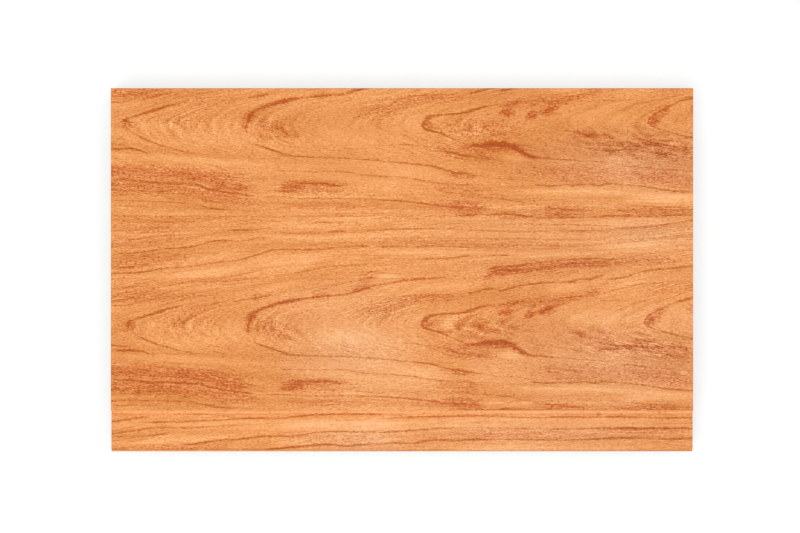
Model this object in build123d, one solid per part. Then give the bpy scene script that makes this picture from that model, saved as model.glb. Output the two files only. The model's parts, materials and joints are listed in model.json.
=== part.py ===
from build123d import *
import os

# A cut length of hollow plastic tongue-and-groove cladding, lying on its back, in millimetres.
# X runs along the slat, Y across it from the tongue to the groove, and Z up to the printed face.
# The origin is the middle of the underside.

# Overall sizes
length = 180.0
cover_width = 100.0  # the raised face: the width that one slat covers on a wall
tongue_reach = 12.5  # how far the tongue stands out from the edge of the face
thickness = 10.0

# Walls
face_skin = 1.0
back_skin = 1.0
edge_wall = 1.0  # the wall that the tongue stands on, and the one at the bottom of the groove
web = 0.7
body_cell_pitch = 10.7

# Tongue and groove
front_lip = 1.2  # the lip that hides the next slat's tongue
tongue_thickness = 4.0
tongue_wall = 0.8
edge_cell_pitch = 6.3  # in the tongue and in the lip behind the groove
side_clearance = 0.25  # between the tongue and each wall of the groove that it slides into
end_clearance = 0.5  # between the tongue's nose and the bottom of the groove

# Corner radii
face_edge_radius = 0.6
back_edge_radius = 0.4
tongue_nose_radius = 1.4
lip_edge_radius = 0.3
inner_corner_radius = 0.4
cell_corner_radius = 0.4

# Places across the slat
total_width = cover_width + tongue_reach
tongue_tip = -total_width / 2
face_start = tongue_tip + tongue_reach
face_end = face_start + cover_width
groove_bottom = face_end - tongue_reach - end_clearance

# Heights above the underside
groove_ceiling = thickness - front_lip
tongue_front = groove_ceiling - side_clearance
tongue_back = tongue_front - tongue_thickness
groove_floor = tongue_back - side_clearance


def slat_outline():
    """The outside of the cross-section: each corner's place across, height and radius."""
    corners = [
        (face_start, 0, back_edge_radius),
        (face_end, 0, back_edge_radius),
        (face_end, groove_floor, lip_edge_radius),
        (groove_bottom, groove_floor, inner_corner_radius),
        (groove_bottom, groove_ceiling, inner_corner_radius),
        (face_end, groove_ceiling, lip_edge_radius),
        (face_end, thickness, face_edge_radius),
        (face_start, thickness, face_edge_radius),
        (face_start, tongue_front, inner_corner_radius),
        (tongue_tip, tongue_front, tongue_nose_radius),
        (tongue_tip, tongue_back, tongue_nose_radius),
        (face_start, tongue_back, inner_corner_radius),
    ]
    points = [(across, height) for across, height, radius in corners]
    radii = [radius for across, height, radius in corners]
    return make_face(FilletPolyline(*points, radius=radii, close=True))


def cell_row(start, end, bottom, top, wanted_pitch):
    """Equal hollow cells side by side between two walls, parted by webs, as near to the wanted
    pitch as a whole number of cells comes."""
    count = round((end - start + web) / wanted_pitch)
    cell_width = (end - start - (count - 1) * web) / count
    cell_height = top - bottom
    largest_radius = 0.45 * min(cell_width, cell_height)
    cell = RectangleRounded(cell_width, cell_height, min(cell_corner_radius, largest_radius))
    pitch = cell_width + web
    first_centre = start + cell_width / 2
    height = (bottom + top) / 2
    return [Pos(first_centre + i * pitch, height) * cell for i in range(count)]


def body_hollows():
    """The full-height cells behind the face."""
    return cell_row(
        face_start + edge_wall,
        groove_bottom - edge_wall,
        back_skin,
        thickness - face_skin,
        body_cell_pitch,
    )


def back_lip_hollows():
    """The low cells in the lip behind the groove."""
    return cell_row(
        groove_bottom,
        face_end - edge_wall,
        back_skin,
        groove_floor - back_skin,
        edge_cell_pitch,
    )


def tongue_hollows():
    """The flat cells inside the tongue."""
    return cell_row(
        tongue_tip + tongue_wall,
        face_start,
        tongue_back + tongue_wall,
        tongue_front - tongue_wall,
        edge_cell_pitch,
    )


def cladding_slat():
    section = slat_outline() - body_hollows() - back_lip_hollows() - tongue_hollows()
    return extrude(Plane.YZ * section, amount=length / 2, both=True)


slat = cladding_slat()
slat.label = "cladding_slat"

os.makedirs("parts", exist_ok=True)
export_step(slat, "parts/cladding_slat.step")

box = slat.bounding_box()
print(f"size {box.size.X:.2f} x {box.size.Y:.2f} x {box.size.Z:.2f} mm")
print(f"plastic {slat.volume / 1000:.2f} cm3")
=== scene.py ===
import bpy
import json
import math
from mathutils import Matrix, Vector


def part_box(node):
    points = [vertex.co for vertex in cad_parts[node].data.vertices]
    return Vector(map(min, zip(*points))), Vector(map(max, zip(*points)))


# A cut length of hollow plastic cladding lying on its back, seen from straight above.
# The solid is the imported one. Everything that makes it look like printed plastic is in its
# material: a wood figure drawn line by line, with the streaks and pores of the wood between
# the lines, and bare white plastic wherever the print doesn't reach.

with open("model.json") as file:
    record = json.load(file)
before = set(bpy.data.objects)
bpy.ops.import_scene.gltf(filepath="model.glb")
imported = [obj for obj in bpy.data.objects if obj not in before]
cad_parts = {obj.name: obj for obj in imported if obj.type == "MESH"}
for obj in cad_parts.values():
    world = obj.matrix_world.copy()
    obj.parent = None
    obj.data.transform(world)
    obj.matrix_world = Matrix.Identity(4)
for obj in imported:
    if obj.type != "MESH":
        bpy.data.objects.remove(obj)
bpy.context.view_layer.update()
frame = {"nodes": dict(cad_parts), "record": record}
slat = frame["nodes"]["cladding_slat"]
slat_low, slat_high = (Vector(corner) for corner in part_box("cladding_slat"))
mounts = {mount["name"]: mount["pos_m"] for mount in frame["record"]["mounts"]}

# Sizes of the slat in millimetres, and heights above its back
MM = 0.001
SLAT_LENGTH = (slat_high.x - slat_low.x) / MM
SLAT_WIDTH = (slat_high.y - slat_low.y) / MM
FACE_HEIGHT = (slat_high.z - slat_low.z) / MM
TONGUE_REACH = 2 * (mounts["tongue"][1] - slat_low.y) / MM
FACE_WIDTH = SLAT_WIDTH - TONGUE_REACH
TONGUE_FRONT = mounts["fixing_strip"][2] / MM
TONGUE_MIDDLE = mounts["tongue"][2] / MM  # where its rounded nose reaches furthest

# Surfaces are told apart by their normals: how far up, across or along they have to point. A
# side belongs to an edge of the face if it is this near to it.
FACES_UP = 0.02
UPRIGHT = 0.98
SAWN = 0.5
AT_EDGE = 0.05

# The print is laid out in millimetres, along from the left end and down from the upper edge of
# the face. It repeats up the face: above the repeat line it is the same figure once more,
# which the film's stretch makes a little wider and taller.
REPEAT_LINE = 38.5
REPEAT_DOWN = 61.89
REPEAT_DOWN_SCALE = 0.9686
REPEAT_ALONG = 1.13
REPEAT_ALONG_SCALE = 0.9861
REPEAT_BOW_MIDDLE = 109.4
REPEAT_BOW = 0.00009  # the upper figure sags by this times the square of the way from there

# Curves hold values from 0 to 1, so places along and down the print are divided by this.
SPAN = 200.0
REACH_SPAN = 100 * SPAN  # for hundredths of a millimetre

# The figure's lines are uneven: a noise of this many waves to a millimetre shifts them by up
# to half of this reach, along and down.
UNEVEN_WAVES = (0.6, 1.1, 1)
UNEVEN_REACH = (0.6, 0.45, 0)
UNEVEN_DETAIL = 3
LINE_SOFTNESS = 0.5  # width over which the edge of a line's stain fades
LINE_FRAY = 0.6  # how far the fibres fray it
PATCH_FADE = 0.7  # share of a patch's half size over which it fades

# The wood between the lines is made of noises drawn out along the grain. Each has the length
# and width of its marks in millimetres, a number that sets it apart, and its detail.
BANDS = (50, 3.2, 11, 1)
RINGS = (34, 2.4, 17, 1)
STRANDS = (7, 0.55, 23, 2)
FIBRES = (2.4, 0.34, 37, 2)
PORES = (0.9, 0.3, 51, 0)
SPECKLE = (0.55, 0.45, 71, 0)
NOISE_MIDDLE = 0.5
NOISE_ROUGHNESS = 0.55
BAND_SLOPE = 0.25  # share of the way down that is added to the level of the bands
STRAND_STAGGER = 1.7  # how far along the strands move for each millimetre down

# How much the noises darken the wood, and how much they fray its lines and stains
GRAIN_STRENGTHS = (("strands", 0.6), ("fibres", 0.75), ("pores", 0.4), ("speckle", 0.45))
FRAY_STRENGTHS = (("strands", 0.25), ("fibres", 0.45), ("pores", 0.3))

# The wood's middle tone, and how much each thing at its strongest adds to it
MIDDLE_TONE = 0.3
BAND_TONE = 0.6
PALER_TONE = 0.4
PORE_TONE = 0.16
RING_TONE = 0.16
DOTTED_STRAND_TONE = 0.9
STAIN_TONE = 0.52
INK_TONE = 0.58
INK_TONE_LOST = 0.3  # of it, where a line runs through a full stain
INK_TONE_FRAY = 0.5
PAINTED_EDGE_HIGHLIGHT_TONE = 0.3  # taken off for a painted highlight along the face's lower edge, where the film bends over it, and in the corner of the step below
PAINTED_EDGE_HIGHLIGHT_MIDDLE = FACE_WIDTH + 0.15
PAINTED_EDGE_HIGHLIGHT_HALF = 0.45

# Ramps: two values, and the two that they are carried to, or else 0 and 1
PORE_INK = (0.56, 0.7)  # of the pores' noise
DOTS = (0.56, 0.72, 0, 0.34)  # of the speckle
RING_INK = (0.014, 0)  # of how far the rings' noise is from its middle
RING_STRANDS = (0.42, 0.62)  # of the strands, between which a ring comes to show
GRAIN_IN_STAIN = (-0.3, 0.6, 0.6, 1.3)  # of the patches' darkness, as are the next two
MOTTLE_IN_STAIN = (0.2, 1.2, 0.5, 3.1)
STAIN = (0.05, 1.5)
PLASTIC_SHADE = (0.35, 0.6)  # of the surface's unevenness, as is the next
ROUGHNESS = (0.35, 0.65, 0.56, 0.44)

# The print's tones from its lightest wood to its darkest stain, each with its colour and the
# colour that it has where the print is greyer
TONES = (
    (0.00, (254, 190, 129), (249, 191, 140)),
    (0.14, (248, 169, 102), (240, 170, 113)),
    (0.30, (235, 154, 85), (228, 155, 100)),
    (0.46, (223, 139, 68), (215, 139, 85)),
    (0.62, (210, 123, 51), (201, 123, 69)),
    (0.80, (197, 103, 26), (187, 104, 48)),
    (1.00, (185, 85, 0), (176, 85, 20)),
    (1.30, (171, 70, 0), (162, 70, 6)),
)
DARKEST_TONE = TONES[-1][0]
STAIN_TINT = (1.05, 0.92, 1.2, 1)  # the strongest stains multiply the colour by this
BARE_PLASTIC = (236, 233, 226)
PLASTIC_LINE = 0.94  # how bright the plastic's faint lines are, as a share of that
SAW_LINE = 0.84
SPECULAR = 0.25

# Waves to a metre of the surface's fine unevenness, along, across and upwards: small pores in
# the print's film, faint lines along the extruded plastic, and saw marks on its ends
FILM_PORES = (450.0, 2600.0, 300.0)
EXTRUDED_LINES = (12.0, 1100.0, 1100.0)
SAW_MARKS = (100.0, 120.0, 4200.0)
SAW_SLANT = 0.12  # how far the saw marks rise for each millimetre across
BUMP_STRENGTH = 0.5
BUMP_DEPTH = 0.02

# Where the print is greyer: place along and down, half length, half height and how much
GREYER_PARTS = (
    (158, 84, 60, 22, 1),
    (150, 48, 70, 20, 0.5),
    (72, 72, 36, 16, 0.5),
    (84, 92, 40, 10, 0.45),
    (140, 107, 70, 10, 0.8),
    (163, 23, 44, 14, 1),
    (166, 45, 30, 9, 1),
    (74, 82, 30, 15, 1),
    (78, 109, 26, 7, 1),
)

# Where the film is printed a little darker or lighter, whatever the figure there: place along
# and down, half length, half height and darkness
SHADED_PARTS = (
    (164, 12, 42, 11, 0.14),
    (174, 6, 14, 8, 0.08),
    (124, 22, 18, 12, 0.17),
    (72, 27.5, 20, 5, 0.09),
    (157, 22, 10, 13, -0.07),
    (112, 58.5, 11, 5, -0.09),
    (120, 74.5, 18, 5, 0.08),
    (66, 10, 30, 11, 0.09),
    (10, 90, 36, 14, 0.1),
    (178, 75, 12, 6, 0.1),
    (40, 84, 20, 9, 0.09),
    (3, 75, 10, 7, 0.08),
    (78, 80.5, 24, 10, -0.12),
    (50, 92, 15, 8, 0.09),
    (96, 89.5, 13, 5, -0.1),
    (174, 96.5, 13, 4, 0.13),
    (22, 110, 26, 5, -0.09),
    (72, 110, 28, 5, -0.13),
    (83, 106.5, 11, 6, -0.13),
    (70, 103.6, 24, 3, -0.08),
    (82, 97, 20, 4, -0.08),
    (24, 20, 26, 5, 0.05),
    (166, 44, 26, 7, -0.1),
    (76, 43, 38, 8, -0.09),
    (150, 82, 22, 7, -0.1),
)

# Where the pores show as dots and the strands stand out, inside the tips of the arches: place
# along and down, half length, half height and rise
DOTTED_PARTS = (
    (21, 72.5, 17, 6.5, 0.1),
    (50, 74.5, 12, 6, -0.2),
    (84, 69, 14, 5, 0.2),
    (112, 74, 20, 5, 0),
    (162, 80, 26, 7, -0.1),
)

# The flat arches of the figure, nested in one another and open to the right. Each is given by
# how far along its outline is at each place down the print, and how far its stain reaches to
# each side there, in hundredths of a millimetre.
ARCHES = (
    (
        ((50, 188), (51.5, 150), (54, 110), (57, 80), (59, 60), (62, 45), (64.5, 35), (66, 27),
         (67.7, 20), (69, 15.5), (70.3, 11.5), (71.4, 8), (72.5, 5.4), (74, 5.5), (75.8, 7.2),
         (77, 9.2), (78.2, 11.6), (79.4, 15), (80.8, 20), (81.9, 25), (82.5, 31), (84.5, 45),
         (86, 60), (88, 80), (90, 104), (91.2, 145), (92.3, 168), (93.6, 188)),
        ((60, 0), (65.8, 6), (66.8, 29), (67.6, 56), (68.6, 61), (70.5, 53), (71.6, 39), (72.6, 51),
         (74.4, 34), (75.6, 24), (76.8, 39), (78.2, 49), (79.4, 42), (81, 39), (82, 29), (82.6, 17),
         (83.2, 0)),
    ),
    (
        ((53, 195), (55, 150), (56, 132), (57, 122), (58.1, 110), (59, 95), (59.5, 90.5),
         (60.4, 86), (61.2, 80.6), (62.4, 77.4), (63.6, 73.2), (64.3, 67), (64.9, 60.5),
         (65.7, 55.5), (66.6, 52), (67.7, 48.4), (69, 45.2), (70.5, 43.6), (72.5, 42.8),
         (74.5, 42.4), (76, 42.6), (77.6, 43.6), (78.9, 45), (80, 48), (81, 51), (82.2, 55),
         (82.8, 62), (83, 76), (83.6, 81), (84.5, 92), (85.2, 98), (86, 101.5), (87.2, 106.5),
         (88.2, 113), (89.2, 130), (90.2, 160), (91, 195)),
        ((57.6, 0), (58.2, 14), (58.9, 51), (59.4, 42), (60, 37), (61.2, 51), (62.2, 68), (63, 53),
         (63.6, 39), (64.4, 53), (65, 42), (65.7, 72), (66.6, 59), (67.6, 53), (69, 68), (70.4, 81),
         (72, 64), (74, 42), (76, 26), (77.6, 8), (78.9, 29), (79.8, 51), (81, 48), (82.4, 39),
         (83, 42), (83.6, 37), (84.6, 39), (85.2, 48), (86.2, 34), (87.2, 47), (88, 34), (88.6, 0)),
    ),
    (
        ((57, 192), (59.5, 172), (61, 162.5), (62.8, 154), (64.4, 146), (65.4, 136), (66.3, 126),
         (67.2, 116), (68.2, 112.6), (69.2, 109.4), (69.8, 104.6), (70.2, 99.4), (71.2, 97.7),
         (72.2, 96.7), (73.2, 96.3), (74.2, 97.2), (75, 99.8), (75.6, 102), (76.6, 104.2),
         (77.6, 106.4), (78.6, 108.8), (79.4, 112), (79.9, 119), (80.4, 124.6), (81.4, 127.2),
         (82.4, 129.4), (83.2, 136), (84, 148), (85.2, 163), (87, 192)),
        ((66.6, 0), (67.1, 37), (67.6, 58), (69.4, 58), (70, 60), (71.2, 74), (72.6, 84), (74.2, 66),
         (75.2, 56), (76, 48), (77, 39), (78.6, 34), (79.3, 26), (80.2, 26), (81.6, 53), (82.6, 48),
         (83.2, 36), (83.8, 34), (84.4, 17), (85, 0)),
    ),
    (
        ((62.6, 196), (64.6, 181), (65.9, 176), (66.9, 173), (67.8, 171), (69, 169), (69.8, 167.2),
         (71, 165.6), (72.4, 165), (73.6, 166), (74.6, 168.6), (75.4, 171.4), (76.2, 174),
         (77.4, 179), (78.6, 196)),
        ((64, 45), (65.8, 51), (66.6, 42), (68, 53), (69.6, 51), (71, 53), (73, 51), (74.4, 39),
         (76, 37), (77.6, 34), (78.2, 16)),
    ),
)
outer_arch = [(along, down) for down, along in ARCHES[0][0]]
tip = outer_arch.index(min(outer_arch))
UPPER_SIDE = outer_arch[tip - 1 : 0 : -1]
LOWER_SIDE = outer_arch[tip + 1 : -1]
ARCH_GRAIN = (10, 14, 8)  # width of wood between each arch and the next, across the grain
INNER_GRAIN_LENGTH = 60.0  # how far right of the last arch the grain keeps to its shape
INNER_GRAIN = 12

# The grain above the arches, between them and the step, and on the tongue: lines that run the
# whole length, each down by so much at each place along. The numbers after each group are the
# widths of wood between one line and the next.
GRAIN_ABOVE = (
    ((0, 38.5), (180, 38.5)),
    ((0, 46.2), (20, 45.5), (45, 43.7), (60, 44.9), (80, 44.2), (95, 43.5), (110, 43.9), (145, 44.3),
     (160, 43.1), (180, 40.9)),
    ((0, 51.4), (10, 50.7), (20, 49.5), (30, 48), (38, 47), (48, 46.4), (60, 47), (80, 46.8),
     (110, 47), (145, 46.8), (160, 45.4), (180, 43.4)),
    ((0, 57.4), (10, 56.9), (20, 55.4), (30, 54.4), (40, 53.1), (45, 51.7), (50, 50.1), (60, 49.9),
     (75, 49.1), (95, 49), (115, 49.3), (130, 48.7), (146, 48.8), (160, 47.4), (180, 45.6)),
    ((0, 63.6), (10, 62.1), (20, 60.6), (30, 59.3), (38, 58.6), (50, 57.8), (57, 57.1), (61, 56.3),
     (70, 55.1), (78, 54.5), (90, 53.5), (100, 52.8), (109, 52), (122, 51.6), (140, 50.4),
     (160, 49.2), (180, 48)),
    ((0, 72.2), (5, 72.2), *UPPER_SIDE, (180, 50.2)),
)
GRAIN_ABOVE_WIDTHS = (6, 4, 4, 6, 6)
GRAIN_BELOW = (
    ((0, 73.6), *LOWER_SIDE, (180, 93.2)),
    ((0, 85.2), (10, 86.3), (20, 87), (32, 87.4), (39, 89.5), (53, 89.8), (72, 90.6), (90, 91.6),
     (110, 92.6), (130, 93.6), (160, 94.2), (180, 95.4)),
    ((0, 90), (12, 90.9), (20, 91.1), (28, 91.6), (32, 92.8), (37, 93.6), (43, 94.3), (50, 94.8),
     (60, 95.2), (72, 95.1), (85, 95.7), (92, 96), (100, 96.9), (106, 97.6), (125, 98), (150, 98),
     (180, 98.5)),
    ((0, 100), (180, 100)),
    ((0, 107.6), (10, 106), (20, 105.1), (32, 104.6), (42, 103.6), (60, 102.8), (80, 102.4),
     (100, 101.6), (140, 101.8), (180, 102)),
    ((0, 111.4), (24, 110), (35, 108.9), (45, 107.9), (60, 107), (70, 106.3), (90, 106), (102, 105.2),
     (125, 105.3), (150, 105.2), (180, 105.3)),
    ((0, 114), (40, 113), (57, 111), (73, 110.6), (90, 109.4), (110, 108.9), (134, 108.9),
     (160, 108.2), (180, 108.4)),
    ((0, 116), (180, 113.5)),
)
GRAIN_BELOW_WIDTHS = (5, 5, 5, 3, 4, 3, 4)

# Drawn lines: each point's place along, place down and how far its stain reaches to each side,
# in hundredths of a millimetre. A reach of 0 is a gap.
LINES = (
    ((14, 41.8, 0), (16, 41.7, 31), (25, 41.2, 25), (27, 41.4, 0), (52, 42.2, 0), (60, 42.1, 19),
     (66, 41.6, 34), (74, 41.6, 22), (78, 41.8, 0), (120, 41.7, 0), (126, 41.9, 25), (150, 42.5, 31),
     (155, 42.7, 12), (157, 43.3, 37), (166, 42.9, 34), (171, 42.2, 37), (180, 40.9, 31)),
    ((0, 46.5, 19), (6, 46.8, 34), (15, 45.7, 28), (22, 45.3, 19), (28, 45, 0), (33, 44, 12),
     (40, 43.8, 40), (46, 43.6, 37), (50, 43.3, 9), (53, 44.8, 25), (60, 44.9, 37), (65, 44.9, 28),
     (69, 44.4, 37), (75, 44.7, 31), (81, 44.1, 28), (90, 43.6, 40), (95, 43.5, 37), (102, 43.4, 19),
     (110, 43.9, 22), (120, 44.3, 25), (135, 44.3, 22), (147, 44.1, 28), (153, 44.3, 19),
     (156, 44.4, 0), (160, 45.5, 22), (180, 43.6, 19)),
    ((0, 51.3, 22), (5, 51, 40), (10, 50.7, 40), (15, 49.9, 40), (25, 49, 37), (34, 47.2, 44),
     (40, 47.2, 25), (48, 46.2, 25), (52, 46.4, 0), (82, 46.9, 0), (90, 47, 19), (109, 47.2, 22),
     (116, 46.9, 15), (128, 46.5, 25), (140, 46.8, 19), (150, 47, 6), (160, 46.8, 22), (170, 46.2, 31),
     (180, 45.1, 25)),
    ((0, 57.4, 34), (10, 56.9, 47), (15, 56, 37), (20, 55.4, 37), (25, 55, 37), (30, 54.4, 34),
     (35, 53.6, 28), (40, 53.1, 43), (45, 51.7, 47), (50, 50, 43), (56, 49.9, 37), (62, 49.9, 44),
     (70, 49.3, 37), (79, 48.8, 44), (81, 48.9, 0), (83, 49, 31), (87, 49, 47), (92, 49.1, 31),
     (100, 48.9, 37), (114, 49.3, 31), (121, 49.2, 25), (129, 48.5, 28), (134, 48.7, 37),
     (142, 48.9, 31), (148, 48.7, 19), (164, 47.4, 12), (180, 46.8, 19)),
    ((0, 55.3, 34), (6, 55.2, 31), (10, 54.6, 28), (15, 54.6, 22), (19, 54.2, 0), (70, 53.6, 0),
     (76, 53.2, 22), (86, 52.7, 22), (93, 52.9, 22), (100, 52.8, 37), (105, 52.6, 37), (109, 52, 44),
     (113, 51.9, 19), (119, 51.7, 31), (122, 51.6, 52), (124, 51.6, 0), (180, 50, 12)),
    ((2, 62.4, 12), (7, 61.3, 37), (9, 61.2, 19), (10, 62.1, 28), (20, 60.6, 40), (25, 59.8, 22),
     (38, 58.1, 28), (42, 57.3, 34), (45, 56.6, 28), (48, 56.5, 9), (51, 57.7, 15), (57, 57.1, 34),
     (65, 55.6, 34), (73, 54.8, 44), (84, 54.4, 9), (92, 55, 19), (100, 55.5, 12), (110, 55.3, 0)),
    ((24, 60.4, 0), (30, 59.7, 22), (38, 59.6, 28), (43, 59.2, 12), (52, 61, 0), (62, 62.6, 19),
     (73, 60.2, 22), (77, 59.4, 37), (80, 58.6, 43), (82, 58.7, 25), (86, 59.2, 0)),
    ((70, 59, 0), (74, 58, 22), (79, 57.4, 34), (81, 56.7, 37), (83, 57.1, 28), (90, 57.4, 12),
     (96, 57.6, 0), (108, 58.6, 12), (115, 58.8, 12), (116, 56.6, 25), (119, 55.4, 49), (126, 54.9, 49),
     (130, 54.2, 37), (140, 53.3, 34), (145, 52.8, 43), (150, 52.7, 44), (155, 53, 37), (159, 52.6, 22),
     (162, 51.9, 28), (170, 51, 19), (180, 50.1, 15)),
    ((116, 56.9, 12), (118, 56.7, 50), (121, 56.2, 52), (124, 56.3, 47), (132, 55.6, 31),
     (137, 54.9, 31), (143, 54.3, 28), (157, 54, 19), (163, 53.4, 19), (180, 52.4, 12)),
    ((115, 59, 19), (117, 57.8, 37), (123, 57.6, 25), (128, 56.9, 43), (134, 55.8, 31), (140, 55.3, 28),
     (147, 55.1, 25), (155, 55.2, 12), (160, 55, 0)),
    ((110, 63.5, 0), (111, 63.4, 47), (114, 62.7, 44), (116, 62.1, 50), (118.6, 61.9, 47), (119, 62, 0),
     (119.3, 62.6, 0), (119.8, 62.7, 47), (123, 62, 50), (127, 61, 44), (131, 60.5, 49),
     (135, 60.1, 40), (139, 60, 37), (142, 59.9, 52), (145, 59.2, 40), (149, 59, 49), (151, 58.2, 47),
     (152.8, 57.9, 20), (153, 58, 0), (153.2, 59.1, 0), (153.6, 59.1, 30), (158, 58.6, 47),
     (160.5, 58.1, 47), (162, 57.3, 28), (166, 56.5, 49), (174, 55.6, 47), (180, 55.1, 40)),
    ((118, 67.6, 0), (124, 66.5, 25), (130, 65.8, 22), (135, 65.9, 22), (140, 64.8, 31),
     (143, 64.5, 22), (150, 63.9, 12), (155, 62.6, 25), (164, 60.7, 28), (168, 60.3, 31),
     (172, 60.2, 12), (180, 59.4, 12)),
    ((0, 67.3, 25), (3, 67.3, 34), (7, 66.8, 22), (11, 66.4, 0), (36, 66.4, 0), (39, 65.8, 31),
     (42, 65.3, 28), (45, 64.9, 44), (53, 63.2, 12), (60, 62.3, 0), (140, 66.6, 0), (150, 65.8, 19),
     (156, 65.7, 25), (164, 65.8, 15), (170, 65.4, 0)),
    ((0, 79.5, 43), (5, 80, 34), (9, 80.6, 0), (66, 78.8, 0), (72, 79.6, 22), (75, 80.4, 19),
     (84, 79, 0), (90, 78.8, 22), (96, 79.4, 28), (102, 80.2, 19), (106, 81.2, 28), (110, 81.9, 25),
     (116, 82.6, 25), (122, 83.4, 0)),
    ((1, 81.2, 19), (3, 81.2, 54), (8, 81, 50), (12, 82.2, 31), (16, 82.6, 0), (66, 81, 0),
     (71, 80.7, 19), (75, 82, 19), (80, 82.6, 0), (100, 81.6, 0), (106, 82.7, 25), (118, 84, 6),
     (138, 74.4, 0), (141, 74.8, 20), (144, 75.6, 31), (147, 76.4, 28), (149.4, 77.8, 10),
     (151, 78.8, 25), (155, 79.4, 40), (160, 79.7, 34), (164, 78.9, 34), (168, 79.6, 31),
     (172, 80.5, 25), (180, 80.8, 25)),
    ((146, 80, 0), (150, 80.6, 22), (155, 80.8, 40), (158, 80.4, 34), (166, 81.4, 37), (175, 82.8, 22),
     (180, 83.6, 19)),
    ((51, 87, 0), (54, 87, 30), (60, 87.1, 25), (70, 87, 30), (78, 88, 36), (84, 88.4, 30),
     (93, 89.1, 40), (98, 90, 36), (104, 90.6, 28), (110, 90.9, 30), (115, 90.9, 0), (128, 90.3, 0),
     (131, 90.9, 40), (136, 91.2, 44), (140, 90.9, 30), (142, 91.1, 44), (146, 90.8, 36),
     (150, 91.2, 47), (153, 90.7, 42), (158, 91.2, 34), (165, 91.9, 40), (172, 93, 42),
     (180, 93.6, 36)),
    ((0, 90.2, 30), (6, 90.4, 54), (12, 90.9, 54), (20, 91.1, 50), (28, 91.6, 54), (31, 92.6, 59),
     (43, 94.4, 54), (46, 94.7, 22), (54, 94.8, 31), (60, 95.2, 31), (72, 95.1, 31), (92, 96, 47),
     (100, 96.9, 47), (104, 97.5, 37), (108, 97.6, 47), (113, 97.9, 43), (117, 98.2, 19),
     (128, 96.6, 19), (133, 97.4, 22), (142, 98.2, 20), (150, 98.6, 15), (158, 98.9, 25),
     (164, 98.4, 20), (172, 98.8, 25), (180, 98.6, 20)),
    ((0, 93.3, 34), (12, 93.6, 19), (20, 93.4, 12), (50, 94, 0), (52, 93, 37), (54, 93.1, 50),
     (57, 92.8, 37), (58, 91, 19), (61, 90.6, 43), (66, 90.7, 43), (70, 91.1, 50), (73, 90.9, 25),
     (76, 93.5, 22), (80, 94, 31), (85, 94.4, 19), (95, 94.2, 0), (112, 94.6, 12), (119, 94.9, 28),
     (127, 96.2, 22), (134, 96.8, 19), (150, 96.7, 19), (160, 97.2, 25), (166, 97.7, 28),
     (180, 98, 19)),
    ((0, 96.8, 34), (6, 96.5, 28), (12, 96.7, 34), (20, 96.8, 28), (25, 97.2, 28), (34, 98.7, 43),
     (40, 98.9, 19), (48, 99, 0), (102, 99.3, 0), (106, 99.3, 30), (112, 99.4, 43), (118, 99.4, 40),
     (122, 99.3, 54), (136, 99.4, 37), (165, 99.5, 25), (180, 99.5, 19)),
    ((107, 79.7, 0), (110, 79.5, 30), (113, 79.1, 59), (116, 78.8, 98), (120, 78.7, 108),
     (122.5, 79, 102), (124.4, 79.8, 92), (126.2, 81, 62), (128.4, 82.3, 53), (131, 82.9, 44),
     (134, 82.8, 40), (137, 83.3, 20), (140, 83.6, 0)),
    ((106, 39.6, 25), (110, 39.4, 52), (114, 39.2, 37), (118, 39.1, 49), (122, 38.9, 52),
     (126, 39.3, 50), (130, 40, 43), (136, 40.2, 43), (141, 40, 44), (148, 40, 28), (154, 39.6, 43),
     (160, 39.5, 43), (166, 39.8, 31), (172, 39.4, 37), (180, 39.2, 25)),
    ((78, 40.2, 6), (86, 40.3, 28), (94, 40.3, 28), (99, 40.2, 0), (118, 40.5, 12), (122, 40.6, 31),
     (126, 40.8, 12), (132, 41, 0)),
    ((0, 103.2, 43), (10, 101.8, 43), (13, 101.5, 0), (22, 101.1, 8), (26, 101, 36), (31, 101, 25),
     (40, 102.2, 46), (43, 102.1, 53), (50, 102.2, 36), (60, 101.4, 46), (70, 100.9, 46),
     (80, 100.8, 46), (85, 100.8, 20), (92, 101.8, 36), (100, 101.6, 46), (113, 101.4, 46),
     (132, 102, 36), (140, 101.8, 53), (150, 101.8, 43), (157, 101.7, 50), (165, 101.9, 36),
     (172, 102.1, 43), (180, 102, 40)),
    ((0, 107.1, 48), (5, 106.3, 48), (15, 105.1, 40), (22, 105.1, 43), (40, 104.2, 25), (50, 103.8, 25),
     (60, 103.3, 12), (76, 102.6, 20), (88, 102, 16), (100, 103, 0), (128, 104.6, 0), (180, 103.8, 20)),
    ((60, 38.9, 0), (70, 38.8, 20), (82, 38.8, 12), (90, 39.2, 0), (112, 88.7, 0), (118, 88.9, 20),
     (124, 89.2, 25), (129, 89.8, 20), (134, 90, 12), (140, 89.8, 25), (147, 89.6, 20), (153, 89.9, 0),
     (155, 85.5, 0), (159, 85.6, 28), (164, 86.1, 37), (168, 86.6, 20), (172, 86.8, 30),
     (180, 87.4, 25)),
    ((56, 47.6, 0), (64, 47.8, 20), (74, 47.6, 12), (84, 59.6, 0), (94, 56.4, 0), (100, 56.2, 20),
     (110, 56.4, 12), (118, 57, 0), (140, 63.4, 0), (150, 63, 12), (158, 67, 0), (163, 66.4, 20),
     (168, 66, 15), (180, 62.4, 20)),
    ((0, 49.2, 15), (8, 48.8, 20), (16, 48.4, 0), (34, 63.6, 0), (44, 62.6, 12), (52, 61.8, 0),
     (86, 64.8, 0), (90, 64.4, 20), (104, 63.8, 30), (110, 63.2, 0), (120, 47.8, 0), (126, 47.6, 25),
     (134, 47.8, 20), (144, 48.2, 0), (156, 53.8, 0), (164, 52.6, 20), (172, 52, 15), (180, 51.4, 20)),
    ((8, 103.6, 0), (12, 103.4, 36), (22, 103.2, 43), (32, 102.8, 43), (38, 102.5, 33), (42, 102.9, 0),
     (180, 104, 0)),
    ((8, 107.9, 33), (12, 107.6, 40), (17, 107, 29), (19, 108.6, 0), (23, 110.1, 46), (35, 108.9, 53),
     (40, 108.6, 53), (45, 107.9, 56), (50, 107.7, 43), (55, 107.7, 48), (65, 106.4, 36),
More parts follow.
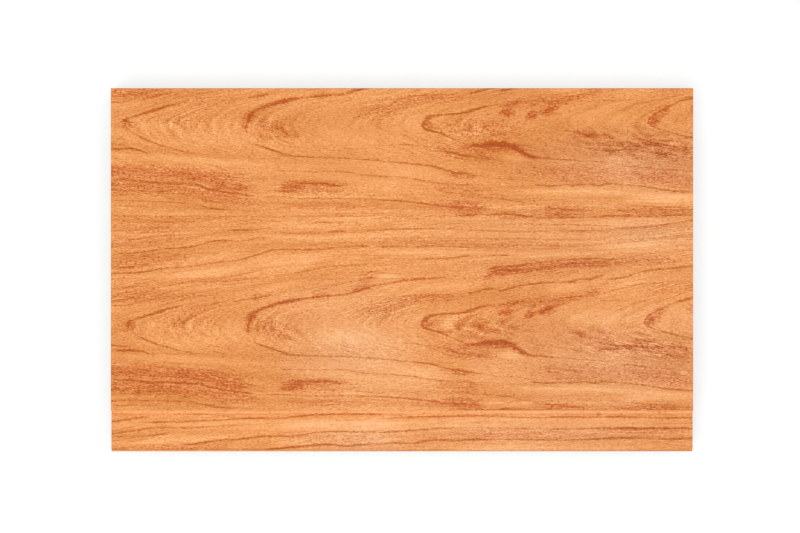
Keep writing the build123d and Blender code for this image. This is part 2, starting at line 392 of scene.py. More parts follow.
     (72, 106.3, 43), (80, 106.4, 46), (98, 105.6, 48), (102, 105.2, 43), (112, 105.1, 20),
     (125, 105.3, 36), (140, 105.5, 36), (157, 105.2, 56), (180, 105.3, 50)),
    ((47, 111.9, 33), (50, 111.8, 63), (57, 111, 61), (61, 110.7, 58), (64, 110.4, 65), (68, 110.3, 53),
     (73, 110.8, 46), (77, 110.4, 53), (80, 110.4, 40), (85, 109.9, 40), (89, 109.8, 47), (94, 110, 43),
     (96, 109.4, 50), (103, 108.9, 50), (108, 108.9, 47), (114, 108.6, 53), (121, 108.7, 33),
     (134, 108.9, 48), (140, 109, 36), (153, 108.4, 48), (161, 108.2, 48), (166, 108.4, 25),
     (173, 108.6, 40), (180, 108.4, 43)),
    ((149.6, 100.9, 0), (150.4, 100.8, 36), (151.3, 100.9, 55), (152, 101, 30), (152.8, 101, 0),
     (158, 77, 0), (162, 77.5, 30), (166, 78.3, 42), (172, 79.7, 36), (180, 80.4, 30)),
    ((0, 98, 20), (6, 98.2, 30), (12, 98, 20), (18, 98.3, 0), (100, 80.2, 0), (104, 81, 30),
     (107, 81.8, 40), (110, 82.4, 30), (113, 82.8, 36), (116, 83.2, 25), (120, 83.8, 0), (128, 97.2, 0),
     (134, 97.8, 30), (140, 98.4, 36), (145, 98.8, 20), (150, 99, 0)),
)

# Stained patches: place along and down, half length, half height, rise to the right for each
# millimetre along, and darkness, below zero where the wood is lighter
PATCHES = (
    # Above the arches, at the left
    (10, 54, 22, 3.4, 0.08, 0.42),
    (3, 55.4, 6, 0.9, 0, 0.35),
    (8, 47.4, 20, 3.6, 0.06, 0.3),
    (12, 42.6, 20, 3.4, 0, 0.3),
    (42, 41.5, 9, 1.8, 0, 0.35),
    (10, 64.4, 26, 3, 0.03, 0.5),
    (8, 61, 14, 1.6, 0.1, 0.2),
    (35, 60, 12, 1.8, 0.1, 0.3),
    (32, 66.6, 14, 2.8, 0.15, 0.3),
    (30, 57, 22, 1.6, 0.12, -0.5),
    (56, 53.2, 17, 2.6, 0.08, -0.5),
    (52, 61.2, 12, 1.6, 0.2, -0.3),
    (24, 62.6, 12, 1.2, 0.16, -0.25),
    # Above the arches, in the middle and at the right
    (94, 47, 18, 2.4, 0, 0.3),
    (118, 48.8, 13, 1.2, 0, 0.42),
    (132, 48.2, 20, 1, 0, 0.2),
    (100, 51, 26, 1.4, 0, -0.4),
    (110, 45.6, 26, 1, 0, -0.25),
    (132, 51.2, 22, 1.7, 0, -0.35),
    (160, 49, 15, 1.7, 0.05, -0.4),
    (121, 56.8, 6.5, 2.2, 0.08, 0.9),
    (133, 55.4, 15, 2, 0.08, 0.6),
    (149, 54.3, 12, 1.9, 0.02, 0.75),
    (168, 53.4, 15, 2.2, 0.06, 0.5),
    (117, 58.8, 3, 2.2, 0.4, 0.4),
    (138, 57.4, 12, 1.4, 0.1, 0.3),
    (140, 62, 8, 1.8, 0.1, -0.4),
    (104, 61.4, 14, 1.7, 0, -0.3),
    (84.5, 58.2, 6, 1, 0.05, -0.45),
    (149, 62.8, 3, 2.4, 0, 0.4),
    (174, 61.6, 14, 3, 0.1, 0.35),
    (172, 43.6, 16, 2.4, 0.1, 0.25),
    # The first arch
    (5.8, 73.2, 1.8, 2.6, 0, 0.42),
    (7, 74.6, 5, 3, -0.4, 0.35),
    (14, 74, 7, 2.4, 0, -0.2),
    (24, 72.4, 12, 3.2, 0.1, 0.2),
    # The second arch
    (43.4, 70.8, 3.2, 2.2, 0.8, 0.7),
    (42.2, 74.2, 2, 2.8, 0, 0.5),
    (50, 67.2, 7, 1.3, 0.3, 0.6),
    (55, 65.9, 5, 1.2, 0.2, 0.9),
    (46, 64.4, 5, 1.6, 0.2, 0.5),
    (65.2, 64.4, 4.4, 1.5, 0.1, 0.8),
    (76.8, 62, 4.4, 1.3, 0.4, 0.75),
    (79, 59.4, 4.4, 1.8, 0.35, 0.55),
    (94, 59.1, 6, 0.9, 0, 0.5),
    (50, 74.6, 8, 4.6, -0.3, 0.33),
    (84, 68.2, 11, 3.4, 0.2, 0.3),
    (97, 65.2, 17, 2.2, 0.04, 0.5),
    (74, 74.6, 18, 8, 0, -0.25),
    (91, 74.4, 8, 6, 0, -0.2),
    # The third arch and the stains in it
    (97.8, 72.8, 2, 1.8, 0.4, 0.9),
    (113, 73.8, 17, 5.4, 0, 0.31),
    (108, 81.4, 15, 3, -0.15, 0.42),
    (118, 79.2, 9.5, 2.4, 0, 0.55),
    (111, 79.4, 5, 1.4, 0, 0.5),
    (126, 80.9, 5.4, 1.6, -0.6, 0.7),
    (122, 69.3, 3.4, 1.6, 0.1, 1.3),
    (123, 66.8, 4.5, 1.2, 0.3, 0.7),
    (129.4, 69.9, 2.8, 1.7, 0.5, 1.3),
    (134.6, 68.7, 4.2, 2.1, 0.1, 1.2),
    (138, 66.6, 5, 1.6, 0.2, 0.5),
    (132, 66, 18, 2.4, 0.12, 0.42),
    (144, 64.8, 7, 1.4, 0.1, 0.35),
    (146, 75.8, 6, 1.5, -0.3, 0.65),
    (152.6, 76.4, 3.2, 1.3, -0.5, 0.7),
    (157, 79.6, 15, 2.8, -0.05, 0.3),
    (171, 80.8, 14, 4.2, -0.2, 0.36),
    (124, 82.8, 7, 1.6, -0.1, -0.45),
    (150, 71, 14, 3.2, 0, -0.25),
    # The fourth arch
    (166.6, 72, 2.6, 2.2, 0.5, 0.6),
    (168.6, 70, 5.8, 2.6, 0.85, 0.6),
    (179.4, 68.4, 2.6, 2.6, 0, 0.5),
    # Below the arches
    (12, 87.8, 36, 3.2, -0.04, 0.85),
    (31, 89.2, 13, 2.6, -0.05, 0.42),
    (38, 91.6, 9, 2.4, -0.06, 0.8),
    (12, 92.8, 34, 3.2, -0.03, 0.6),
    (36, 95.6, 15, 2.8, -0.08, 0.6),
    (56, 91.8, 5, 2.6, 0, 0.68),
    (64, 90.8, 12, 1.5, 0, 0.5),
    (64, 93, 14, 3, 0, 0.4),
    (66, 97.4, 18, 1.8, 0, 0.35),
    (26, 84, 36, 1.7, -0.05, -0.45),
    (80, 87.6, 30, 5.5, -0.03, -0.35),
    (107.5, 87.8, 7, 1.7, -0.1, 0.7),
    (108, 92.4, 12, 3.4, 0, 0.35),
    (109.5, 97.3, 8.5, 2.4, -0.05, 0.95),
    (101, 97, 9, 1.8, -0.05, 0.45),
    (139, 98.2, 12, 2, 0, 0.5),
    (167, 98.9, 18, 1.8, 0, 0.5),
    (172, 90, 16, 3, -0.12, 0.5),
    (150, 87.8, 32, 4.2, -0.03, 0.34),
    (142, 93.4, 28, 2.4, 0, -0.3),
    (170, 95.2, 18, 1.9, 0, -0.55),
    # Across the line where the print comes again
    (110, 38.2, 7, 2, 0, 1),
    (124, 39.6, 12, 1.1, 0, 0.5),
    (139, 38.6, 9, 1.8, 0, 0.6),
    (168, 38.8, 18, 1.6, 0, 0.5),
    # On the tongue
    (18, 111.2, 24, 1.8, 0, 0.5),
    (70, 108.4, 24, 2.2, 0.03, 0.3),
    (128, 107.2, 30, 2.2, 0, 0.35),
    (165, 106, 19, 1.4, 0, 0.45),
    (60, 104.4, 80, 2.4, 0, -0.4),
    (130, 103.6, 66, 2, 0, -0.45),
    (130, 111.4, 66, 1.4, 0, -0.2),
)


class Shading:
    """Adds nodes to a material or a world and links them. A value can be a number or a socket."""

    def __init__(self, owner):
        owner.use_nodes = True
        self.tree = owner.node_tree

    def node(self, kind, **settings):
        node = self.tree.nodes.new(kind)
        for name, setting in settings.items():
            setattr(node, name, setting)
        return node

    def feed(self, node, *values):
        """Values for a node's inputs, in their order."""
        inputs = [socket for socket in node.inputs if socket.enabled]
        for socket, value in zip(inputs, values):
            if isinstance(value, bpy.types.NodeSocket):
                self.tree.links.new(value, socket)
            else:
                socket.default_value = value

    def result(self, kind, *values, **settings):
        """The first output of a new node that is given these values."""
        node = self.node(kind, **settings)
        self.feed(node, *values)
        return next(socket for socket in node.outputs if socket.enabled)

    def parts(self, kind, value):
        node = self.node(kind)
        self.feed(node, value)
        return tuple(node.outputs)

    def maths(self, operation, *values):
        return self.result("ShaderNodeMath", *values, operation=operation)

    def vector_maths(self, operation, *values):
        return self.result("ShaderNodeVectorMath", *values, operation=operation)

    def add(self, first, second):
        return self.maths("ADD", first, second)

    def times(self, first, second):
        return self.maths("MULTIPLY", first, second)

    def times_add(self, first, second, third):
        return self.maths("MULTIPLY_ADD", first, second, third)

    def ramp(self, value, low, high, start=0.0, end=1.0, kind="LINEAR"):
        """The value carried from low..high to start..end, and held beyond both."""
        values = (value, low, high, start, end)
        return self.result("ShaderNodeMapRange", *values, interpolation_type=kind)

    def vector(self, x, y, z=0.0):
        return self.result("ShaderNodeCombineXYZ", x, y, z)

    def same_three(self, value):
        """A colour whose three parts are all this value, to work out three things side by side."""
        return self.result("ShaderNodeCombineColor", value, value, value)

    def mix(self, blend, first, second, share=1.0):
        values = (share, first, second)
        return self.result("ShaderNodeMix", *values, data_type="RGBA", blend_type=blend)

    def mix_vectors(self, share, first, second):
        return self.result("ShaderNodeMix", share, first, second, data_type="VECTOR")

    def noise(self, vector, detail=2):
        node = self.node("ShaderNodeTexNoise")
        self.feed(node, vector, 1, detail, NOISE_ROUGHNESS)
        return node

    def centred(self, noise):
        return self.add(noise, -NOISE_MIDDLE)

    def curves(self, position, shapes):
        """Three curves read at one position, as the three parts of a colour. Each shape is a
        list of (position, value), all from 0 to 1."""
        node = self.node("ShaderNodeRGBCurve")
        node.mapping.extend = "HORIZONTAL"
        for curve, shape in zip(node.mapping.curves, shapes):
            for place, value in shape[1:-1]:
                curve.points.new(place, value)
            curve.points[0].location = shape[0]
            curve.points[-1].location = shape[-1]
            for point in curve.points:
                point.handle_type = "AUTO_CLAMPED"
        node.mapping.update()
        self.feed(node, 1.0, position)
        return node.outputs["Color"]


def linear(colour):
    """A colour given as 0 to 255 on screen, as the linear values that a shader takes."""
    parts = [part / 255 for part in colour]
    bent = [part / 12.92 if part <= 0.04045 else ((part + 0.055) / 1.055) ** 2.4 for part in parts]
    return (*bent, 1.0)


def shares(points, position_span=SPAN, value_span=SPAN):
    """Points of a curve, divided by the spans of their two values."""
    return [(position / position_span, value / value_span) for position, value in points]


def in_threes(items):
    """The items in groups of three, the last one filled up with its own last item."""
    groups = [list(items[start : start + 3]) for start in range(0, len(items), 3)]
    while len(groups[-1]) < 3:
        groups[-1].append(groups[-1][-1])
    return groups


def figure_place(shading, along, down):
    """Where a point is in the figure: above the repeat line it is lower down, in the stretch
    of the figure that comes again there."""
    repeated = shading.maths("LESS_THAN", down, REPEAT_LINE)
    shift_along = shading.times_add(along, REPEAT_ALONG_SCALE - 1, REPEAT_ALONG)
    from_middle = shading.add(along, -REPEAT_BOW_MIDDLE)
    bow = shading.times(shading.times(from_middle, from_middle), REPEAT_BOW)
    shift_down = shading.times_add(down, REPEAT_DOWN_SCALE - 1, shading.add(bow, REPEAT_DOWN))
    figure_along = shading.times_add(repeated, shift_along, along)
    figure_down = shading.times_add(repeated, shift_down, down)
    return figure_along, figure_down


def uneven_place(shading, along, down):
    """A place in the figure, shifted by noise so that no line is quite even."""
    place = shading.vector(along, down)
    noise = shading.noise(shading.vector_maths("MULTIPLY", place, UNEVEN_WAVES), UNEVEN_DETAIL)
    shift = shading.vector_maths("SUBTRACT", noise.outputs["Color"], (NOISE_MIDDLE,) * 3)
    return shading.vector_maths("MULTIPLY_ADD", shift, UNEVEN_REACH, place)


def soft_spot(shading, place, along, down, half_length, half_height, rise=0):
    """1 in the middle of an oval and 0 outside it, through a linear fade."""
    inside = shading.result(
        "ShaderNodeMapping",
        place,
        (along, down, 0),
        (0, 0, -math.atan(rise)),
        (half_length, half_height, 1),
        vector_type="TEXTURE",
    )
    fade = shading.node("ShaderNodeTexGradient", gradient_type="SPHERICAL")
    shading.feed(fade, inside)
    return fade.outputs["Fac"]


def added_patches(shading, place, patches):
    """The darkness of the patches, added up. Each fades from its middle outwards."""
    total = 0
    for *oval, stain in patches:
        spot = soft_spot(shading, place, *oval)
        total = shading.add(total, shading.ramp(spot, 0, PATCH_FADE, 0, stain, "SMOOTHSTEP"))
    return total


def dotted_parts(shading, place):
    """1 in the middle of the dotted parts and 0 outside them."""
    dotted = 0
    for oval in DOTTED_PARTS:
        dotted = shading.maths("MAXIMUM", dotted, soft_spot(shading, place, *oval))
    return dotted


def deepest(shading, before, reach, away):
    """How deep inside a line's stain a point is, or inside that of the lines before."""
    inside = shading.mix("SUBTRACT", reach, away)
    return inside if before is None else shading.mix("LIGHTEN", before, inside)


def drawn_lines(shading, along, down):
    """How deep inside the stain of any drawn line a point is."""
    depth = None
    for group in in_threes(LINES):
        rows = [shares((a, d) for a, d, _ in line) for line in group]
        reaches = [shares(((a, r) for a, _, r in line), SPAN, REACH_SPAN) for line in group]
        away = shading.mix("DIFFERENCE", down, shading.curves(along, rows))
        depth = deepest(shading, depth, shading.curves(along, reaches), away)
    return depth


def outline_slant(outline):
    """At each point of an arch's outline, how much shorter the way square to the outline is
    than the way along the slat."""
    slants = []
    for i, (down, _) in enumerate(outline):
        before = outline[max(i - 1, 0)]
        after = outline[min(i + 1, len(outline) - 1)]
        slope = (after[1] - before[1]) / (after[0] - before[0])
        slants.append((down, 1 / math.hypot(1, slope)))
    return slants


def drawn_arches(shading, along, down_share, depth):
    """How far along each arch's outline is, and how deep inside the stain of any outline or
    drawn line a point is."""
    places = []
    for group in in_threes(ARCHES):
        outlines = [shares(outline, FACE_WIDTH) for outline, _ in group]
        slants = [shares(outline_slant(outline), FACE_WIDTH, 1) for outline, _ in group]
        reaches = [shares(stain, FACE_WIDTH, REACH_SPAN) for _, stain in group]
        place = shading.curves(down_share, outlines)
        beyond = shading.mix("SUBTRACT", along, place)
        beyond = shading.mix("MULTIPLY", beyond, shading.curves(down_share, slants))
        away = shading.mix("DIFFERENCE", beyond, (0, 0, 0, 1))
        depth = deepest(shading, depth, shading.curves(down_share, reaches), away)
        places += shading.parts("ShaderNodeSeparateColor", place)
    return places[: len(ARCHES)], depth


def grain_rows(shading, along, rows):
    """How far down each line of the grain is, at each place along."""
    found = []
    for group in in_threes(rows):
        place = shading.curves(along, [shares(row) for row in group])
        found += shading.parts("ShaderNodeSeparateColor", place)
    return found[: len(rows)]


def grain_level(shading, along, down, arches, along_colour):
    """Two heights across the grain, in millimetres of wood. Each is the same all along a line of
    the grain. The first takes no account of the arches and the second follows them round."""
    outer = 0
    for lines, widths in ((GRAIN_ABOVE, GRAIN_ABOVE_WIDTHS), (GRAIN_BELOW, GRAIN_BELOW_WIDTHS)):
        rows = grain_rows(shading, along_colour, lines)
        for upper, lower, width in zip(rows, rows[1:], widths):
            outer = shading.add(outer, shading.ramp(down, upper, lower, 0, width))
    inner_end = shading.add(arches[-1], INNER_GRAIN_LENGTH / SPAN)
    level = shading.add(outer, shading.ramp(along, arches[-1], inner_end, 0, INNER_GRAIN))
    for first, second, width in zip(arches, arches[1:], ARCH_GRAIN):
        level = shading.add(level, shading.ramp(along, first, second, 0, width))
    return outer, level


def streaks(shading, along, level, length, width, seed, detail):
    """Noise drawn out along the grain, from about 0.2 to 0.8."""
    along = shading.times(along, 1 / length)
    level = shading.times(level, 1 / width)
    place = shading.vector(along, level, seed)
    return shading.noise(place, detail).outputs["Fac"]


def drawn_figure(shading, place):
    """How deep inside the stain of a drawn line a place is, and its two grain levels."""
    position = shading.vector_maths("MULTIPLY", place, (1 / SPAN,) * 3)
    along, down, _ = shading.parts("ShaderNodeSeparateXYZ", position)
    along_colour = shading.same_three(along)
    depth = drawn_lines(shading, along_colour, shading.same_three(down))
    down_face = shading.same_three(shading.times(down, SPAN / FACE_WIDTH))
    arches, depth = drawn_arches(shading, along_colour, down_face, depth)
    first, second, third = shading.parts("ShaderNodeSeparateColor", depth)
    depth = shading.maths("MAXIMUM", shading.maths("MAXIMUM", first, second), third)
    outer_level, level = grain_level(shading, along, down, arches, along_colour)
    return depth, outer_level, level


def wood_noises(shading, along, down, figure_along, figure_down, outer_level, level):
    """The noises of the wood. The larger ones follow the figure, and the fine ones run straight
    along the slat."""
    staggered = shading.times_add(down, STRAND_STAGGER, figure_along)
    band_level = shading.times_add(figure_down, BAND_SLOPE, outer_level)
    return {
        "bands": streaks(shading, figure_along, band_level, *BANDS),
        "rings": streaks(shading, figure_along, level, *RINGS),
        "strands": streaks(shading, staggered, level, *STRANDS),
        "fibres": streaks(shading, along, down, *FIBRES),
        "pores": streaks(shading, along, down, *PORES),
        "speckle": streaks(shading, along, down, *SPECKLE),
    }


def line_fray(shading, noises):
    """How far the fibres push the edge of a line or stain out or in, from about -0.3 to 0.3."""
    fray = -NOISE_MIDDLE
    for name, strength in FRAY_STRENGTHS:
        fray = shading.times_add(noises[name], strength, fray)
    return fray


def stain_strength(shading, patches, dotted, strand_rise, fray):
    """How strongly a place is stained, from 0 to 1, broken up by the fibres."""
    mottle = shading.times_add(dotted, strand_rise, fray)
    mottle = shading.times(mottle, shading.ramp(patches, *MOTTLE_IN_STAIN))
    return shading.ramp(shading.add(mottle, patches), *STAIN)


def ring_lines(shading, noises):
    """1 on the thin lines of the growth rings, where the strands let them show."""
    off_ring = shading.maths("ABSOLUTE", shading.centred(noises["rings"]))
    ring = shading.ramp(off_ring, *RING_INK, kind="SMOOTHSTEP")
    return shading.times(ring, shading.ramp(noises["strands"], *RING_STRANDS))


def fine_grain(shading, noises):
    """What the fine noises add to the tone, above and below 0."""
    grain = 0
    for name, strength in GRAIN_STRENGTHS:
        grain = shading.times_add(shading.centred(noises[name]), strength, grain)
    pore_ink = shading.ramp(noises["pores"], *PORE_INK, kind="SMOOTHSTEP")
    return shading.times_add(pore_ink, PORE_TONE, grain)


def unstained_tone(shading, noises, patches, dotted, strand_rise, liveliness):
    """The tone of the wood between its drawn lines and stains."""
    paler = shading.maths("MINIMUM", patches, 0)
    rings = ring_lines(shading, noises)
    grain = fine_grain(shading, noises)
    bands = shading.centred(noises["bands"])
    tone = shading.times_add(paler, PALER_TONE, MIDDLE_TONE)
    tone = shading.times_add(bands, BAND_TONE, tone)
    tone = shading.times_add(grain, liveliness, tone)
    dots = shading.ramp(noises["speckle"], *DOTS)
    dots = shading.times_add(strand_rise, DOTTED_STRAND_TONE, dots)
    tone = shading.times_add(dotted, dots, tone)
    return shading.times_add(rings, RING_TONE, tone)


def wood_print(shading, along, down):
    """The tone of the printed wood, from 0 for the lightest, and how strongly it is stained."""
    figure_along, figure_down = figure_place(shading, along, down)
    place = uneven_place(shading, figure_along, figure_down)
    patches = added_patches(shading, place, PATCHES)
    dotted = dotted_parts(shading, place)
    depth, *levels = drawn_figure(shading, place)
    noises = wood_noises(shading, along, down, figure_along, figure_down, *levels)
    fray = line_fray(shading, noises)
    frayed_depth = shading.times_add(fray, LINE_FRAY / SPAN, depth)
    ink = shading.ramp(frayed_depth, 0, LINE_SOFTNESS / SPAN)
    liveliness = shading.ramp(patches, *GRAIN_IN_STAIN)
    strand_rise = shading.centred(noises["strands"])
    stain = stain_strength(shading, patches, dotted, strand_rise, fray)
    tone = unstained_tone(shading, noises, patches, dotted, strand_rise, liveliness)
    tone = shading.add(tone, added_patches(shading, shading.vector(along, down), SHADED_PARTS))
    tone = shading.times_add(stain, STAIN_TONE, tone)
    ink_tone = shading.times_add(stain, -INK_TONE_LOST, INK_TONE)
    ink_tone = shading.times_add(fray, INK_TONE_FRAY, ink_tone)
    return shading.times_add(ink, ink_tone, tone), stain


def colour_of_tone(shading, tone_share, which):
    """The first or second colour of a tone, which is given as a share of the darkest."""
    node = shading.node("ShaderNodeValToRGB")
    stops = node.color_ramp.elements
    for tone, *_ in TONES[1:-1]:
        stops.new(tone / DARKEST_TONE)
    for stop, (tone, *colours) in zip(stops, TONES):
        stop.position = tone / DARKEST_TONE
        stop.color = linear(colours[which])
    shading.feed(node, tone_share)
    return node.outputs["Color"]


def wood_colour(shading, tone, stain, along, down):
    """The print's colour for each tone, greyer in some parts and redder where it is stained."""
    place = shading.vector(along, down)
    greyer = 0
    for *oval, share in GREYER_PARTS:
        fade = soft_spot(shading, place, *oval)
        greyer = shading.maths("MAXIMUM", greyer, shading.times(fade, share))
    tone_share = shading.times(tone, 1 / DARKEST_TONE)
    warm = colour_of_tone(shading, tone_share, 0)
    grey = colour_of_tone(shading, tone_share, 1)
    colour = shading.mix("MIX", warm, grey, greyer)
    return shading.mix("MULTIPLY", colour, STAIN_TINT, stain)


def down_the_print(shading, across, height):
    """How far down the print a point is. The print carries on over an edge and down the side
    there, so what the side drops is added to the way across, or taken off at the upper edge."""
    on_tongue = shading.maths("GREATER_THAN", across, FACE_WIDTH + AT_EDGE)
    front = shading.times_add(on_tongue, TONGUE_FRONT - FACE_HEIGHT, FACE_HEIGHT)
    drop = shading.maths("MAXIMUM", shading.maths("SUBTRACT", front, height), 0)
    away_from_middle = shading.maths("SIGN", shading.add(across, -FACE_WIDTH / 2))
    return shading.times_add(drop, away_from_middle, across)


def printed_area(shading, across, height):
    """1 where the print is: the face, its rounded edges and small upright sides, and the
    tongue's front as far as its nose turns down. 0 on the back, in the hollows and on the sawn
    ends. The second value is 1 on those ends and 0 elsewhere."""
    normal = shading.node("ShaderNodeNewGeometry").outputs["True Normal"]
    nx, ny, nz = shading.parts("ShaderNodeSeparateXYZ", normal)
    faces_up = shading.maths("GREATER_THAN", nz, FACES_UP)
    front = shading.times(faces_up, shading.maths("GREATER_THAN", height, TONGUE_MIDDLE))
    upright = shading.maths("GREATER_THAN", shading.maths("ABSOLUTE", ny), UPRIGHT)
    at_upper_edge = shading.maths("COMPARE", across, 0, AT_EDGE)
    at_step = shading.maths("COMPARE", across, FACE_WIDTH, AT_EDGE)
    at_an_edge = shading.maths("MAXIMUM", at_upper_edge, at_step)
    above_tongue = shading.maths("GREATER_THAN", height, TONGUE_FRONT)
    side = shading.times(shading.times(upright, at_an_edge), above_tongue)
    sawn = shading.maths("GREATER_THAN", shading.maths("ABSOLUTE", nx), SAWN)
    area = shading.maths("MAXIMUM", front, side)
    return shading.times(area, shading.maths("SUBTRACT", 1, sawn)), sawn


def surface_unevenness(shading, place, printed, sawn):
    """Noise from about 0.3 to 0.7, shaped for the film, the extruded plastic or its ends."""
    _, y, _ = shading.parts("ShaderNodeSeparateXYZ", place)
    slanted = shading.vector_maths("ADD", place, shading.vector(0, 0, shading.times(y, SAW_SLANT)))
    place = shading.mix_vectors(sawn, place, slanted)
    waves = shading.mix_vectors(printed, EXTRUDED_LINES, FILM_PORES)
    waves = shading.mix_vectors(sawn, waves, SAW_MARKS)
    return shading.noise(shading.vector_maths("MULTIPLY", place, waves)).outputs["Fac"]


def bare_plastic(shading, unevenness, sawn):
    """White plastic, a little darker in its lines, and more so where it is sawn."""
    darkest = shading.times_add(sawn, SAW_LINE - PLASTIC_LINE, PLASTIC_LINE)
    shade = shading.ramp(unevenness, *PLASTIC_SHADE, darkest)
    return shading.mix("MULTIPLY", linear(BARE_PLASTIC), shading.same_three(shade))


def printed_plastic():
    """White plastic with a satin wood print over its face."""
    material = bpy.data.materials.new("wood_print_on_white_plastic")
    shading = Shading(material)
    shader = material.node_tree.nodes["Principled BSDF"]
    place = shading.node("ShaderNodeTexCoord").outputs["Object"]
    x, y, z = shading.parts("ShaderNodeSeparateXYZ", place)
    along = shading.times_add(x, 1 / MM, SLAT_LENGTH / 2)
    across = shading.times_add(y, -1 / MM, SLAT_WIDTH / 2)
    height = shading.times(z, 1 / MM)
    down = down_the_print(shading, across, height)
    tone, stain = wood_print(shading, along, down)
    # Painted highlight: a thin band over the face's lower edge and the corner of the step below it is
    # made lighter, where the rounded edge would catch the light.
    painted_edge_highlight = shading.maths("COMPARE", across, PAINTED_EDGE_HIGHLIGHT_MIDDLE, PAINTED_EDGE_HIGHLIGHT_HALF)
    printed, sawn = printed_area(shading, across, height)
    tone = shading.times_add(painted_edge_highlight, -PAINTED_EDGE_HIGHLIGHT_TONE, tone)
    print_colour = wood_colour(shading, tone, stain, along, down)
    unevenness = surface_unevenness(shading, place, printed, sawn)
    colour = shading.mix("MIX", bare_plastic(shading, unevenness, sawn), print_colour, printed)
    bump = shading.node("ShaderNodeBump")
    bump.inputs["Strength"].default_value = BUMP_STRENGTH
    bump.inputs["Distance"].default_value = BUMP_DEPTH * MM
    link = material.node_tree.links.new
    link(unevenness, bump.inputs["Height"])
    link(bump.outputs["Normal"], shader.inputs["Normal"])
    link(shading.ramp(unevenness, *ROUGHNESS), shader.inputs["Roughness"])
    link(colour, shader.inputs["Base Color"])
    shader.inputs["Specular IOR Level"].default_value = SPECULAR
    return material


# A map of the slat's surface, for pictures baked from its material. The printed part is unrolled
# across the slat and fills the map's width. The plain parts share what is left.
MAP_NAME = "OFBake"
MAP_MARGIN = 0.005
END_WIDTH = 0.49  # width of a sawn end on the map, where the two lie side by side
RIGHT_END_START = 0.5
POINT_BELOW = 1.0  # how far below the slat the point is that its strips are ordered round
SAME_PLACE = 7  # decimals of a metre to which two places on the section are compared


def is_printed(face):
    """Whether a face of the mesh lies in the printed area."""
    across = SLAT_WIDTH / 2 - face.center.y / MM
    height = face.center.z / MM
    at_an_edge = min(abs(across), abs(across - FACE_WIDTH)) < AT_EDGE
    side = abs(face.normal.y) > UPRIGHT and at_an_edge and height > TONGUE_FRONT
    return side or (face.normal.z > FACES_UP and height > TONGUE_MIDDLE)


def direction_from_below(place):
    """The angle at which a place on the section is seen from a point far below the slat."""
    across, height = place
    return math.atan2(-across, height + POINT_BELOW)


def strips_along(mesh):
    """The faces that run along the slat, in strips. Each strip is keyed by the two places on the
    section that it lies between, and the strips come in the order of their directions."""
    strips = {}
    for face in mesh.polygons:
        if abs(face.normal.x) < SAWN:
            corners = [mesh.vertices[i].co.yz for i in face.vertices]
            places = {tuple(round(part, SAME_PLACE) for part in corner) for corner in corners}
            strips.setdefault(tuple(sorted(places, key=direction_from_below)), []).append(face)
    return dict(sorted(strips.items(), key=lambda item: sum(map(direction_from_below, item[0]))))


def corner_places(mesh, face):
    """Each corner of a face, with its place."""
    for corner in face.loop_indices:
        yield corner, mesh.vertices[mesh.loops[corner].vertex_index].co


def map_strips(mesh, uv, strips, bottom, height_per_metre):
    """Lays strips one above another on the map, and returns where the last one ends."""
    for (first, last), faces in strips:
        top = bottom + math.dist(first, last) * height_per_metre
        for face in faces:
            for corner, place in corner_places(mesh, face):
                along = (place.x - slat_low.x) / (slat_high.x - slat_low.x)
                at_first = math.dist(place.yz, first) < math.dist(place.yz, last)
                height = bottom if at_first else top
                uv[corner].vector = (MAP_MARGIN + along * (1 - 2 * MAP_MARGIN), height)
        bottom = top
    return bottom


def map_ends(mesh, uv, bottom):
    """Lays the two sawn ends side by side on the map."""
    scale = END_WIDTH / (slat_high.y - slat_low.y)
    for face in mesh.polygons:
        if abs(face.normal.x) > SAWN:
            left = RIGHT_END_START if face.normal.x > 0 else MAP_MARGIN
            for corner, place in corner_places(mesh, face):
                across = left + (place.y - slat_low.y) * scale
                uv[corner].vector = (across, bottom + place.z * scale)
    return bottom + (slat_high.z - slat_low.z) * scale


def lay_out_map(mesh):
    """The sawn ends at the bottom of the map, then the printed strips, then the plain ones."""
    uv = mesh.uv_layers.new(name=MAP_NAME).uv
    strips = strips_along(mesh)
    printed = [item for item in strips.items() if is_printed(item[1][0])]
    plain = [item for item in strips.items() if not is_printed(item[1][0])]
    top = map_ends(mesh, uv, MAP_MARGIN) + MAP_MARGIN
    full_scale = (1 - 2 * MAP_MARGIN) / (slat_high.x - slat_low.x)
    top = map_strips(mesh, uv, printed, top, full_scale) + MAP_MARGIN
    plain_width = sum(math.dist(*places) for places, _ in plain)
    map_strips(mesh, uv, plain, top, (1 - MAP_MARGIN - top) / plain_width)


# The camera looks straight down. The slat's middle is a little off the picture's middle, as in
# the photograph.
PICTURE_WIDTH = 800
PICTURE_HEIGHT = 533
SLAT_MIDDLE_COLUMN = 402.0
SLAT_MIDDLE_ROW = 270.0
SLAT_LENGTH_IN_PIXELS = 582.4
LENS = 110.0
SENSOR = 36.0
NEAREST_SEEN = 0.01


def add_object(name, data):
    thing = bpy.data.objects.new(name, data)
    bpy.context.scene.collection.objects.link(thing)
    return thing


def add_camera():
    metres_per_pixel = SLAT_LENGTH * MM / SLAT_LENGTH_IN_PIXELS
    distance = metres_per_pixel * PICTURE_WIDTH * LENS / SENSOR
    right = (PICTURE_WIDTH / 2 - SLAT_MIDDLE_COLUMN) * metres_per_pixel
    up = (SLAT_MIDDLE_ROW - PICTURE_HEIGHT / 2) * metres_per_pixel
    data = bpy.data.cameras.new("camera")
    data.lens = LENS
    data.sensor_width = SENSOR
    data.clip_start = NEAREST_SEEN
    camera = add_object("camera", data)
    camera.location = (right, up, slat_high.z + distance)
    bpy.context.scene.camera = camera


# The studio, in metres. A lamp has its place, its width and its power in watts.
LAMPS = {
    "key_lamp": ((-0.3, -0.5, 1.3), 1.0, 6.75),
    "fill_lamp": ((0.5, 0.3, 1.4), 1.2, 4.05),
}
WORLD_STRENGTH = 0.6
FLOOR_HALF = 3.0
FLOOR_PAINT = (0.7, 0.7, 0.7, 1)
FLOOR_LIFT = (0.4, 2.2, 0.38, 1)  # two distances from the slat, and how bright it glows there


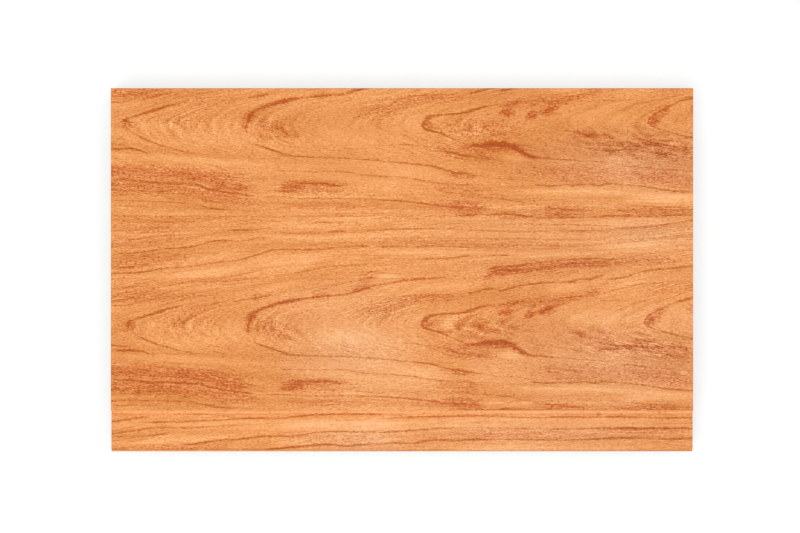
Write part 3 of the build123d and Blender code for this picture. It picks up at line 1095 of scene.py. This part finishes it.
def add_lamp(name, place, size, power):
    """A square soft lamp that faces the slat."""
    data = bpy.data.lights.new(name, "AREA")
    data.size = size
    data.energy = power
    lamp = add_object(name, data)
    lamp.location = place
    lamp.rotation_euler = (-Vector(place)).to_track_quat("-Z", "Y").to_euler()


def seen_directly(shading):
    """1 for what the camera sees, by itself or in a reflection, and 0 for light on its way."""
    path = shading.node("ShaderNodeLightPath")
    return shading.maths("MAXIMUM", path.outputs["Is Camera Ray"], path.outputs["Is Glossy Ray"])


def add_world():
    """Even light from all round, and a background that the camera sees as white."""
    world = bpy.data.worlds.new("studio")
    shading = Shading(world)
    background = world.node_tree.nodes["Background"]
    background.inputs["Color"].default_value = (1, 1, 1, 1)
    seen_strength = shading.ramp(seen_directly(shading), 0, 1, WORLD_STRENGTH, 1)
    world.node_tree.links.new(seen_strength, background.inputs["Strength"])
    bpy.context.scene.world = world


def floor_material():
    """A pale floor that reads as white to the camera and still takes the slat's shadow. Far
    from the slat, where the lamps fade, it is lifted more, up to the white of the background."""
    material = bpy.data.materials.new("studio_floor")
    shading = Shading(material)
    nodes = material.node_tree.nodes
    nodes.remove(nodes["Principled BSDF"])
    place = shading.node("ShaderNodeTexCoord").outputs["Object"]
    distance = shading.vector_maths("LENGTH", place)
    strength = shading.ramp(distance, *FLOOR_LIFT)
    strength = shading.times(strength, seen_directly(shading))
    paint = shading.result("ShaderNodeBsdfDiffuse", FLOOR_PAINT)
    lift = shading.result("ShaderNodeEmission", (1, 1, 1, 1), strength)
    both = shading.result("ShaderNodeAddShader", paint, lift)
    material.node_tree.links.new(both, nodes["Material Output"].inputs["Surface"])
    return material


def add_floor():
    mesh = bpy.data.meshes.new("floor")
    directions = ((-1, -1), (1, -1), (1, 1), (-1, 1))
    mesh.from_pydata([(x * FLOOR_HALF, y * FLOOR_HALF, 0) for x, y in directions], [], [range(4)])
    mesh.materials.append(floor_material())
    floor = add_object("floor", mesh)


bpy.context.scene.view_settings.view_transform = "Standard"
slat.material_slots[0].material = printed_plastic()
lay_out_map(slat.data)
add_camera()
add_world()
for lamp_name, settings in LAMPS.items():
    add_lamp(lamp_name, *settings)
add_floor()
